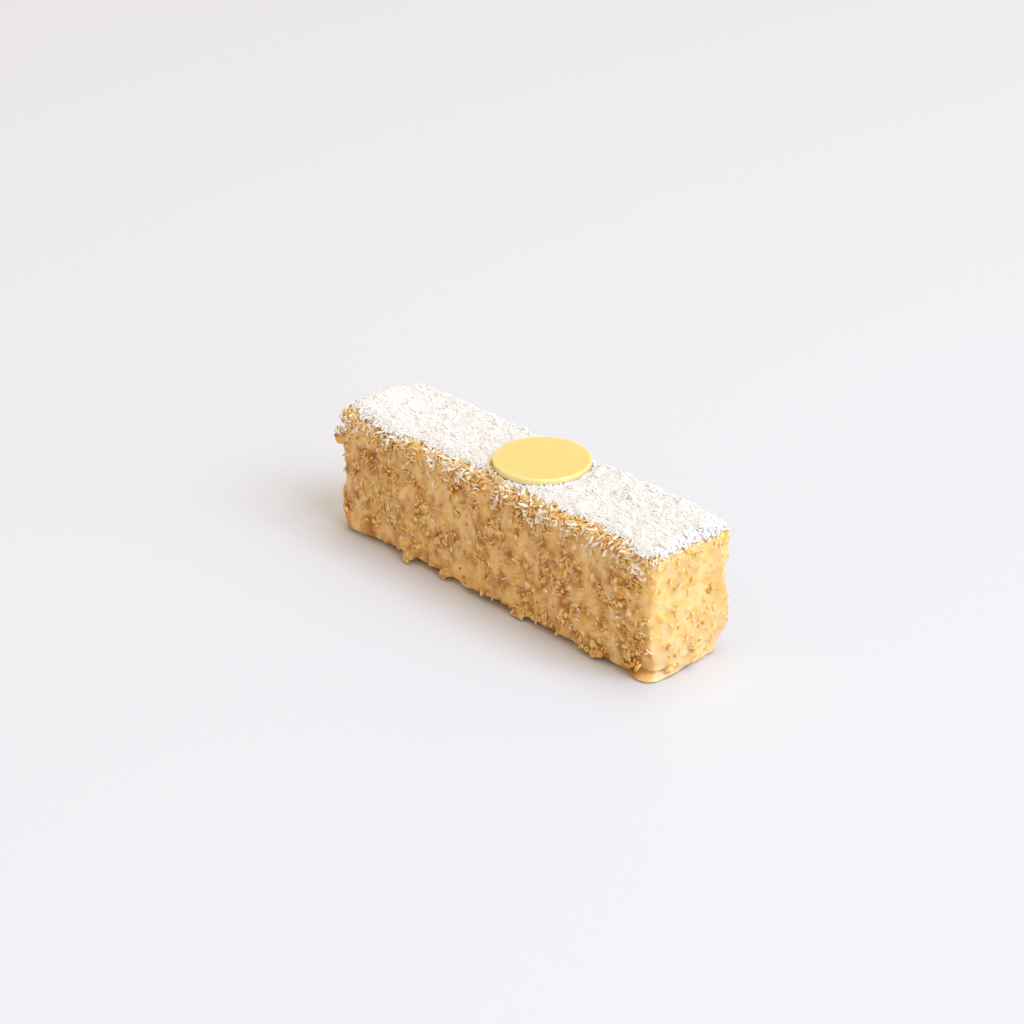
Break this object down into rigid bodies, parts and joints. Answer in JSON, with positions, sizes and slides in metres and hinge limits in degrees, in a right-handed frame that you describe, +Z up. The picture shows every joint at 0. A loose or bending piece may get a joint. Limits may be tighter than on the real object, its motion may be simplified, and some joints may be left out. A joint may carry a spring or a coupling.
{
  "type": "coconut cake bar",
  "caption": "Small rectangular cake bar coated in caramel-coloured glaze with shreds, topped with a layer of desiccated coconut and a flat yellow chocolate disc.",
  "frame": {"origin": "on the surface the bar stands on, under the middle of its bounding box", "axes": "+X along the bar towards the end with the pooled glaze at its foot, +Y across the bar away from the side with the fallen shreds, +Z up"},
  "size_m": [0.1299, 0.0337, 0.0411],
  "materials": {
    "glaze_coat": "satin set glaze with crumbs and shreds",
    "desiccated_coconut": "matte, finely shredded",
    "yellow_chocolate": "smooth satin"
  },
  "bodies": {
    "root": {"cake": "glaze_coat", "coconut": "desiccated_coconut", "disc": "yellow_chocolate"}
  },
  "joints": []
}
